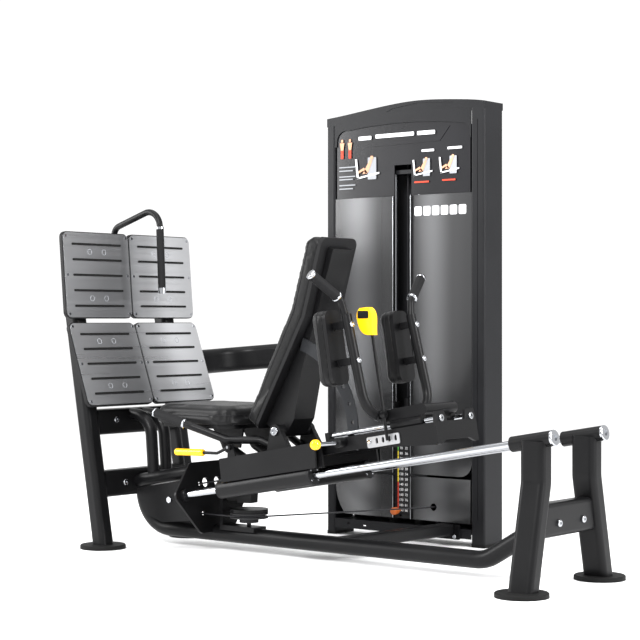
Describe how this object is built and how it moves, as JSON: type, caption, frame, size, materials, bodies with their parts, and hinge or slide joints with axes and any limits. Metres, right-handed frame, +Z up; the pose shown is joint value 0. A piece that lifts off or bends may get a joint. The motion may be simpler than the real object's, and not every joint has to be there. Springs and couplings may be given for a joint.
{
  "type": "hack squat machine",
  "caption": "Leg press and hack squat machine: an inclined sliding carriage with seat, reclining back and shoulder pads faces fixed foot plates and lifts a cable-driven weight stack",
  "frame": {"origin": "on the floor at the centre of the bounding box footprint", "axes": "+X runs up along the guide rails from the foot plates to the legs, +Y from the press to the weight tower, +Z up"},
  "size_m": [2.1242, 1.1095, 1.691],
  "materials": {
    "legs": "satin black powder coat",
    "guide_rails": "polished",
    "chrome_end_caps": "polished",
    "cross_members": "satin black powder coat",
    "main_beam": "satin black powder coat",
    "base_tube": "satin black powder coat",
    "floor_pads": "matte",
    "rail_bracket": "satin black powder coat",
    "press_cable": "nylon",
    "pulley_bracket": "satin black powder coat",
    "rubber_buffers": "matte",
    "tower_cap": "satin dark grey powder coat",
    "tower_columns": "satin dark grey powder coat",
    "tower_base": "satin dark grey powder coat",
    "tower_back_panel": "satin dark grey powder coat",
    "header_placard": "matte",
    "tower_shrouds": "glossy smoked grey",
    "stack_guide_rods": "polished",
    "top_bridge": "satin dark grey powder coat",
    "resting_plate": "black painted",
    "link_arm": "satin black powder coat",
    "foot_plates": "brushed",
    "foot_plate_backings": "matte",
    "grip_strips": "matte",
    "foot_uprights": "satin black powder coat",
    "grab_handle": "satin black powder coat",
    "grab_grip": "matte",
    "frame_bolts": "polished",
    "bearing_tubes": "satin black powder coat",
    "bearing_rings": "matte",
    "carriage_deck": "satin black powder coat",
    "carriage_rod_frame": "satin black powder coat",
    "upper_rods": "polished",
    "rack_plate": "light grey",
    "seat_pad": "black vinyl upholstery over foam",
    "seat_frame": "satin black powder coat",
    "side_handles": "satin black powder coat",
    "handle_grips": "matte",
    "carriage_bolts": "polished",
    "back_cushion": "black vinyl upholstery over foam",
    "back_shell": "matte",
    "back_spine": "satin black powder coat",
    "recline_quadrant": "light grey",
    "shoulder_yoke": "satin black powder coat",
    "shoulder_pads": "black vinyl upholstery over foam",
    "shoulder_pad_backs": "satin black powder coat",
    "horn_grips": "matte",
    "lock_rod": "satin black powder coat",
    "lock_head": "yellow",
    "release_lever": "satin black powder coat",
    "release_grip": "yellow",
    "pop_pin": "polished",
    "top_plate": "black painted",
    "weight_plates": "black painted",
    "stack_cable": "nylon",
    "selector_pin": "yellow",
    "return_pulley": "nylon",
    "floor_pulley": "nylon",
    "base_pulley": "nylon",
    "top_pulley": "nylon"
  },
  "bodies": {
    "frame": {"legs": "legs", "guide_rails": "guide_rails", "chrome_end_caps": "chrome_end_caps", "cross_members": "cross_members", "main_beam": "main_beam", "base_tube": "base_tube", "floor_pads": "floor_pads", "rail_bracket": "rail_bracket", "press_cable": "press_cable", "pulley_bracket": "pulley_bracket", "rubber_buffers": "rubber_buffers", "tower_cap": "tower_cap", "tower_columns": "tower_columns", "tower_base": "tower_base", "tower_back_panel": "tower_back_panel", "header_placard": "header_placard", "tower_shrouds": "tower_shrouds", "stack_guide_rods": "stack_guide_rods", "top_bridge": "top_bridge", "resting_plate": "resting_plate", "link_arm": "link_arm", "foot_plates": "foot_plates", "foot_plate_backings": "foot_plate_backings", "grip_strips": "grip_strips", "foot_uprights": "foot_uprights", "grab_handle": "grab_handle", "grab_grip": "grab_grip", "frame_bolts": "frame_bolts"},
    "carriage": {"bearing_tubes": "bearing_tubes", "bearing_rings": "bearing_rings", "carriage_deck": "carriage_deck", "carriage_rod_frame": "carriage_rod_frame", "upper_rods": "upper_rods", "rack_plate": "rack_plate", "seat_pad": "seat_pad", "seat_frame": "seat_frame", "side_handles": "side_handles", "handle_grips": "handle_grips", "carriage_bolts": "carriage_bolts"},
    "backrest": {"back_cushion": "back_cushion", "back_shell": "back_shell", "back_spine": "back_spine", "recline_quadrant": "recline_quadrant"},
    "shoulder_carriage": {"shoulder_yoke": "shoulder_yoke", "shoulder_pads": "shoulder_pads", "shoulder_pad_backs": "shoulder_pad_backs", "horn_grips": "horn_grips"},
    "lock_lever": {"lock_rod": "lock_rod", "lock_head": "lock_head"},
    "release_lever": {"release_lever": "release_lever", "release_grip": "release_grip"},
    "pop_pin": {"pop_pin": "pop_pin"},
    "weight_stack": {"top_plate": "top_plate", "weight_plates": "weight_plates", "stack_cable": "stack_cable"},
    "selector_pin": {"selector_pin": "selector_pin"},
    "return_pulley": {"return_pulley": "return_pulley"},
    "floor_pulley": {"floor_pulley": "floor_pulley"},
    "base_pulley": {"base_pulley": "base_pulley"},
    "top_pulley": {"top_pulley": "top_pulley"}
  },
  "joints": [
    {"name": "carriage_slide", "type": "slide", "parent": "frame", "child": "carriage", "axis": [0.9848, 0, 0.1736], "range_m": [0, 0.75]},
    {"name": "backrest_hinge", "type": "hinge", "parent": "carriage", "child": "backrest", "pos_m": [-0.13569, -0.212, 0.4565], "axis": [0, 1, 0], "range_deg": [0, 46]},
    {"name": "pop_pin_pull", "type": "slide", "parent": "carriage", "child": "pop_pin", "axis": [0, -1, 0], "range_m": [-0.008, 0]},
    {"name": "shoulder_slide", "type": "slide", "parent": "carriage", "child": "shoulder_carriage", "axis": [0.9848, 0, 0.1736], "range_m": [-0.0527, 0.0263]},
    {"name": "lock_lever_hinge", "type": "hinge", "parent": "shoulder_carriage", "child": "lock_lever", "pos_m": [0.36997, -0.344, 0.53449], "axis": [-0.9848, 0, -0.1736], "range_deg": [-3.2, 0]},
    {"name": "release_lever_hinge", "type": "hinge", "parent": "carriage", "child": "release_lever", "pos_m": [-0.287, -0.385, 0.398], "axis": [0, 1, 0], "range_deg": [0, 8], "stiffness_Nm_per_rad": 2, "springref_deg": -17.19},
    {"name": "stack_lift", "type": "slide", "parent": "frame", "child": "weight_stack", "axis": [0, 0, 1], "range_m": [0, 0.75], "deforming": ["stack_cable"]},
    {"name": "selector_pin_pull", "type": "slide", "parent": "weight_stack", "child": "selector_pin", "axis": [0, -1, 0], "range_m": [0, 0.1]},
    {"name": "return_pulley_spin", "type": "hinge", "parent": "frame", "child": "return_pulley", "pos_m": [-0.66148, -0.276, 0.18], "axis": [0, 1, 0], "continuous": true},
    {"name": "floor_pulley_spin", "type": "hinge", "parent": "frame", "child": "floor_pulley", "pos_m": [-0.342, -0.212, 0.138], "axis": [0, 0, 1], "continuous": true},
    {"name": "base_pulley_spin", "type": "hinge", "parent": "frame", "child": "base_pulley", "pos_m": [0.04657, 0.47595, 0.17], "axis": [0.9077, -0.4197, 0], "continuous": true},
    {"name": "top_pulley_spin", "type": "hinge", "parent": "frame", "child": "top_pulley", "pos_m": [-0.0365, 0.496, 1.545], "axis": [0.0929, -0.9957, 0], "continuous": true}
  ],
  "couplings": [
    {"joint": "stack_lift", "follows": "carriage_slide", "ratio": 1},
    {"joint": "return_pulley_spin", "follows": "carriage_slide", "rad_per_m": 23.809},
    {"joint": "floor_pulley_spin", "follows": "carriage_slide", "rad_per_m": -15.625},
    {"joint": "base_pulley_spin", "follows": "carriage_slide", "rad_per_m": 31.25},
    {"joint": "top_pulley_spin", "follows": "carriage_slide", "rad_per_m": 10.318}
  ]
}
